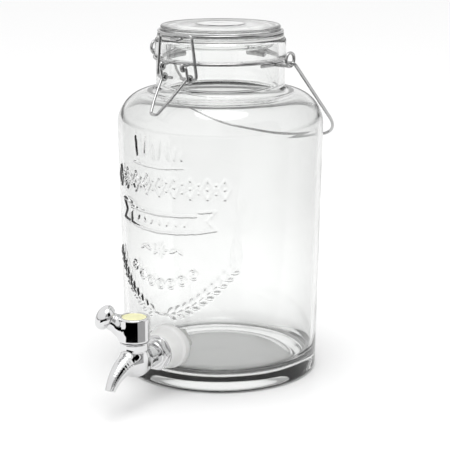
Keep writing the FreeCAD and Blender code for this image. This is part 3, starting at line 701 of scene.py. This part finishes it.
# the lever arm: the height of its root, its turn from -Y towards -X, its rise and its length
ARM_ROOT = 56.4
ARM_TURN = 60.0
ARM_RISE = 31.0
ARM_LENGTH = 19.8
KNOB_RADIUS = 9.2
KNOB_LENGTH = 10.4
ALONG_TAP = Matrix.Translation((0, 0, TAP_HEIGHT * MM)) @ Matrix.Rotation(math.radians(90), 4, "X")


def smooth_curve(points, steps):
    """A Catmull-Rom curve through the points, which may hold any numbers."""
    points = np.array(points, float)
    padded = np.vstack([2 * points[0] - points[1], points, 2 * points[-1] - points[-2]])
    out = []
    for a, b, c, d in zip(padded[:-3], padded[1:-2], padded[2:-1], padded[3:]):
        square = 2 * a - 5 * b + 4 * c - d
        cube = 3 * b - a - 3 * c + d
        for t in np.arange(steps) / steps:
            out.append(0.5 * (2 * b + (c - a) * t + square * t**2 + cube * t**3))
    out.append(points[-1])
    return np.array(out)


def along_tap(p):
    """The points p measured along the tap's tube: across, up, and out from the jar's axis."""
    return np.stack([p[..., 0], p[..., 2] - TAP_HEIGHT, -p[..., 1]], axis=-1)


def tap_body_distance(p):
    """The barrel, its collar and the tube and spout that run into it."""
    q = p + np.array([0, TAP_REACH, 0])
    tube_ends = np.array([[0, -TAP_REACH, TAP_HEIGHT], [0, -99.0, TAP_HEIGHT]])
    tube = tapered_line(p, tube_ends, [TUBE_RADIUS, TUBE_RADIUS])
    barrel = upright_drum(q, BARREL_RADIUS, 26.9, 60.0, 6.0)
    curve = smooth_curve(SPOUT, 4)
    route = np.stack([np.zeros(len(curve)), -TAP_REACH - curve[:, 0], curve[:, 1]], axis=-1)
    spout = tapered_line(p, route, curve[:, 2])
    pitch = math.radians(SPOUT_PITCH)
    beyond_outlet = -((p - route[-1]) @ np.array([0, -math.cos(pitch), -math.sin(pitch)]))
    spout = blend_cut(spout, beyond_outlet, 0.7)
    body = blend_union(blend_union(tube, barrel, 5.0), spout, 5.0)
    body = np.maximum(body, p[..., 2] - 48.0)
    body = blend_union(body, upright_drum(q, 10.6, 45.4, 51.4, 0.8), 0.7)
    # the bore starts part of the way along and runs on past the outlet
    bore_start = 9
    route[-1] += 6 * (route[-1] - route[-2])
    bore_radii = curve[bore_start:, 2] * SPOUT_BORE
    body = blend_cut(body, tapered_line(p, route[bore_start:], bore_radii), 0.5)
    chamber_radius, chamber_floor = 7.1, 29.4
    from_axis = np.hypot(q[..., 0], q[..., 1])
    chamber = np.maximum(from_axis - chamber_radius, chamber_floor - p[..., 2])
    t = along_tap(p)
    from_middle = np.hypot(t[..., 0], t[..., 1])
    flow = np.maximum(from_middle - WATERWAY_RADIUS, t[..., 2] - TAP_REACH)
    return np.maximum(np.maximum(body, -chamber), -flow)


def hex_distance(p):
    """The hexagonal collar, with the bevel of its outer face."""
    t = along_tap(p)
    directions = np.radians([30, 90, 150])
    flats = [abs(t[..., 0] * math.cos(a) + t[..., 1] * math.sin(a)) for a in directions]
    half_across_flats = 11.43
    sides = np.max(flats, axis=0) - half_across_flats
    middle, half_length = 96.0, 2.3
    ends = np.abs(t[..., 2] - middle) - half_length
    bevel = (np.hypot(t[..., 0], t[..., 1]) - 16.2 + (t[..., 2] - 93.6) * 0.875) * 0.75
    return blend_common(blend_common(sides, bevel, 0.5), ends, 0.5)


def arm_way():
    """The direction in which the lever arm points."""
    turn, rise = math.radians(ARM_TURN), math.radians(ARM_RISE)
    level = math.cos(rise)
    return np.array([-math.sin(turn) * level, -math.cos(turn) * level, math.sin(rise)])


def head_distance(p):
    """The turning head: a drum with a rounded rim and the arm that grows out of its side."""
    q = p + np.array([0, TAP_REACH, 0])
    drum = upright_drum(q, 11.4, HEAD_LOW, HEAD_TOP, 1.3)
    curve = smooth_curve([(0.0, 8.0), (8.9, 7.7), (14.3, 6.6), (ARM_LENGTH, 6.3)], 5)
    route = np.array([0, 0, ARM_ROOT]) + curve[:, :1] * arm_way()
    arm = tapered_line(q, route, curve[:, 1])
    past_arm = -((q - route[-1]) @ arm_way())
    head = blend_union(drum, blend_cut(arm, past_arm, 0.6), 3.0)
    head = blend_cut(head, q[..., 2] - HEAD_LOW, 0.8)
    from_axis = np.hypot(q[..., 0], q[..., 1])
    recess_radius, recess_floor = 8.9, 67.7
    recess = np.maximum(from_axis - recess_radius, recess_floor - q[..., 2])
    head = blend_cut(head, recess, 0.5)
    plug_socket_radius, plug_socket_top = 4.05, 60.1
    socket = np.maximum(from_axis - plug_socket_radius, q[..., 2] - plug_socket_top)
    screw_well_radius, screw_well_floor = 3.3, 61.6
    well = np.maximum(from_axis - screw_well_radius, screw_well_floor - q[..., 2])
    return np.maximum(np.maximum(head, -socket), -well)


def washer_distance(p):
    """The silicone washer: a soft-edged disc shaped to the wall, and a tapered body."""
    t = along_tap(p)
    disc = upright_drum(t, 16.2, 60.0, 79.4, 1.2)
    taper = upright_drum(t, 15.0 - 2.0 * (t[..., 2] - 79.4) / 12.6, 70.0, 92.0, 1.2)
    wall_gap = 0.15
    lean = p[..., 2] * (SHOULDER_RADIUS - FOOT_RADIUS) / SHOULDER_HEIGHT
    wall = np.hypot(p[..., 0], p[..., 1]) - (FOOT_RADIUS + wall_gap) - lean
    bore_radius = 8.2
    bore = np.hypot(t[..., 0], t[..., 1]) - bore_radius
    return np.maximum(np.maximum(blend_union(disc, taper, 1.6), -wall), -bore)


def finish_piece(obj, body, node):
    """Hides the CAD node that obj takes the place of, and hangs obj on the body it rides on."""
    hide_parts(node)
    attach(obj, body)


def make_tap_body():
    """The tap's barrel and spout, its hexagonal collar and its threaded shank."""
    low, high = (-14, -158, 18), (14, -90, 53)
    body = solid_from("tap_barrel", tap_body_distance, low, high, 0.45, CHROME)
    finish_piece(body, "jar", "tap_body")
    collar = solid_from("tap_hex", hex_distance, (-15, -100, 19), (15, -92, 50), 0.32, CHROME)
    finish_piece(collar, "jar", "tap_body")
    corners = [(WATERWAY_RADIUS, 57.0, 0), (7.3, 57.0, 0.3)]
    thread_pitch = 1.4
    root, crest = 7.4, 7.98
    for k in range(9):
        start = 57.8 + thread_pitch * k
        corners += [(root, start, 0), (crest, start + 0.35, 0)]
        corners += [(crest, start + 0.6, 0), (root, start + 1.0, 0)]
    corners += [
        (8.0, 71.5, 0), (8.0, 92.1, 0), (12.7, 92.1, 0.4), (12.7, 93.7, 0.5), (9.0, 93.9, 0),
        (9.0, 98.2, 0), (10.2, 98.2, 0.2), (9.6, 99.9, 0.5), (7.0, 99.9, 0),
        (WATERWAY_RADIUS, 100.4, 0),
    ]
    profile = rounded_outline(corners, 12.0)
    shank = lathe("tap_shank", profile, CHROME, 120, loop=True, place=ALONG_TAP, sharp_angle=35)
    finish_piece(shank, "jar", "tap_body")


def knob_profile():
    """The knob's half section, from its flat base to its round end."""
    widest = 0.4 * KNOB_LENGTH
    base_angle = math.radians(-32)
    profile = [(0, 0), (KNOB_RADIUS * math.cos(base_angle) - 0.5, 0)]
    for angle in np.linspace(base_angle, math.pi / 2, 34):
        if angle < 0:
            height = widest * (1 - math.sin(angle) / math.sin(base_angle)) + 0.3
        else:
            height = widest + (KNOB_LENGTH - widest) * math.sin(angle)
        profile.append((KNOB_RADIUS * math.cos(angle), height))
    return profile


def make_tap_head():
    """The turning head, the knob on its arm and the disc in its top."""
    low, high = (-31, -148, 49), (13, -108, 77)
    head = solid_from("tap_turning_head", head_distance, low, high, 0.42, CHROME)
    finish_piece(head, "tap_handle", "tap_head")
    way = Vector(arm_way())
    base = Vector((0, -TAP_REACH, ARM_ROOT)) + way * (ARM_LENGTH + 0.05)
    turn = Vector((0, 0, 1)).rotation_difference(way).to_matrix().to_4x4()
    place = Matrix.Translation(base * MM) @ turn
    knob = lathe("tap_knob", knob_profile(), CHROME, 96, place=place)
    finish_piece(knob, "tap_handle", "lever_knob")
    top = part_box("cap_disc")[1].z / MM
    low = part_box("cap_disc")[0].z / MM
    corners = [
        (0, low, 0), (8.8, low, 0.2), (8.8, top, 0.4), (7.4, top, 0.3), (7.0, top - 0.35, 0.3),
        (6.4, top - 0.35, 0.3), (6.0, top, 0.3), (0, top + 0.05, 0),
    ]
    place = Matrix.Translation((0, -TAP_REACH * MM, 0))
    disc = lathe("tap_cap", rounded_outline(corners, 15.0), YELLOW_PLASTIC, 96, place=place)
    finish_piece(disc, "tap_handle", "cap_disc")


def make_washer():
    """The washer between the collar and the glass."""
    low, high = (-18, -93, 17), (18, -71, 53)
    washer = solid_from("silicone_washer", washer_distance, low, high, 0.6, SILICONE)
    finish_piece(washer, "jar", "outer_washer")


# ---- stage ----


def stage_material(name, color, roughness, emission=0.0, mirror=0.0):
    """A plain material for what isn't part of the object."""
    material, _, _, shader = new_material(name)
    shader.inputs["Base Color"].default_value = (*color, 1)
    shader.inputs["Roughness"].default_value = roughness
    shader.inputs["Specular IOR Level"].default_value = 0.0
    shader.inputs["Metallic"].default_value = mirror
    if emission:
        shader.inputs["Emission Color"].default_value = (*color, 1)
        shader.inputs["Emission Strength"].default_value = emission
    return material


def sector(name, start, end, inner, outer, material):
    """A flat piece of a ring round the tap, just over the floor.

    Its two angles are in degrees, from the camera's direction towards +X.
    """
    steps = 24
    height = 0.0006
    verts = []
    for k in range(steps + 1):
        a = math.radians(CAMERA_AZIMUTH + start + (end - start) * k / steps)
        for radius in (inner, outer):
            verts.append((radius * math.sin(a), -TAP_REACH * MM - radius * math.cos(a), height))
    faces = [(2 * k, 2 * k + 1, 2 * k + 3, 2 * k + 2) for k in range(steps)]
    return mesh_object(name, verts, faces, material)


def raised_card(name, start, end, low, high, material):
    """A patch of a sphere round the tap, between a sector's angles and two heights in degrees."""
    steps = 16
    reach = 1.6
    verts = []
    for i in range(steps + 1):
        a = math.radians(CAMERA_AZIMUTH + start + (end - start) * i / steps)
        for k in range(steps + 1):
            e = math.radians(low + (high - low) * k / steps)
            out = reach * math.cos(e)
            y = -TAP_REACH * MM - out * math.cos(a)
            verts.append((out * math.sin(a), y, reach * math.sin(e)))
    row = steps + 1
    faces = [
        (i * row + k, (i + 1) * row + k, (i + 1) * row + k + 1, i * row + k + 1)
        for i in range(steps)
        for k in range(steps)
    ]
    return mesh_object(name, verts, faces, material)


def make_stage():
    """The white floor, and the black and grey cards that only show as reflections."""
    half_width = 6
    corners = [(-half_width, -half_width, 0), (half_width, -half_width, 0)]
    corners += [(half_width, half_width, 0), (-half_width, half_width, 0)]
    white = stage_material("floor_white", (0.93, 0.93, 0.93), 0.16, mirror=0.05)
    floor = mesh_object("floor", corners, [(0, 1, 2, 3)], white)
    black = stage_material("flag_black", (0.0, 0.0, 0.0), 1.0)
    grey = stage_material("flag_grey", (0.2, 0.2, 0.2), 1.0, emission=1.0)
    near, far = 0.168, 3.0
    cards = [
        sector("flag_front", -58, 28, near, far, black),
        sector("flag_side", 28, 86, near, far, grey),
        raised_card("card_black", 44, 74, 10, 44, black),
        raised_card("card_grey", 4, 44, 16, 46, grey),
    ]
    for card in cards:
        card.visible_camera = False
        card.visible_diffuse = False
        card.visible_shadow = False
        card.visible_transmission = False
        card.visible_volume_scatter = False


# the studio's brightness, by how steeply a direction rises: dark near the level and white above
WORLD_LEVELS = [(0.0, 0.2), (0.05, 0.28), (0.1, 0.98), (0.6, 1.04)]


def make_world():
    """A studio that is white from above and darker low down, and plain white to the camera."""
    world = bpy.data.worlds.new("studio")
    bpy.context.scene.world = world
    world.use_nodes = True
    nodes = world.node_tree.nodes
    links = world.node_tree.links
    background = nodes["Background"]
    place = nodes.new("ShaderNodeTexCoord")
    split = nodes.new("ShaderNodeSeparateXYZ")
    links.new(place.outputs["Generated"], split.inputs["Vector"])
    ramp = nodes.new("ShaderNodeValToRGB")
    set_stops(ramp.color_ramp.elements, WORLD_LEVELS)
    links.new(split.outputs["Z"], ramp.inputs["Fac"])
    path = nodes.new("ShaderNodeLightPath")
    mix = nodes.new("ShaderNodeMix")
    mix.data_type = "RGBA"
    links.new(path.outputs["Is Camera Ray"], mix.inputs["Factor"])
    links.new(ramp.outputs["Color"], mix.inputs[MIX_A])
    mix.inputs[MIX_B].default_value = (1, 1, 1, 1)
    links.new(mix.outputs[MIX_RESULT], background.inputs["Color"])
    background.inputs["Strength"].default_value = 1.0


def make_light():
    """One broad, soft light overhead."""
    place, target = Vector((0.2, -0.3, 1.8)), Vector((0, 0, 0.1))
    light = bpy.data.lights.new("overhead", "AREA")
    light.shape = "DISK"
    light.size = 1.2
    light.energy = 10.0
    obj = bpy.data.objects.new("overhead", light)
    obj.location = place
    obj.rotation_euler = (target - place).to_track_quat("-Z", "Y").to_euler()
    bpy.context.scene.collection.objects.link(obj)


def make_camera():
    """The camera stands 30 degrees round from the tap, higher than the lid, and looks down."""
    distance = 1.09
    height = 0.376
    pitch = 13.73
    azimuth = math.radians(CAMERA_AZIMUTH)
    data = bpy.data.cameras.new("camera")
    data.sensor_width = 36.0
    data.lens = 117.36
    data.shift_x = 0.01
    data.clip_start = 0.05
    data.clip_end = 50.0
    camera = bpy.data.objects.new("camera", data)
    camera.location = (distance * math.sin(azimuth), -distance * math.cos(azimuth), height)
    camera.rotation_euler = (math.radians(90 - pitch), 0, azimuth)
    bpy.context.scene.collection.objects.link(camera)
    bpy.context.scene.camera = camera


dress_cad_nodes()
make_jar()
make_lid()
make_washer()
make_tap_body()
make_tap_head()
make_stage()
make_world()
make_light()
make_camera()
bpy.context.scene.view_settings.view_transform = "Standard"
bpy.context.scene.cycles.transmission_bounces = 24
bpy.context.scene.cycles.max_bounces = 32
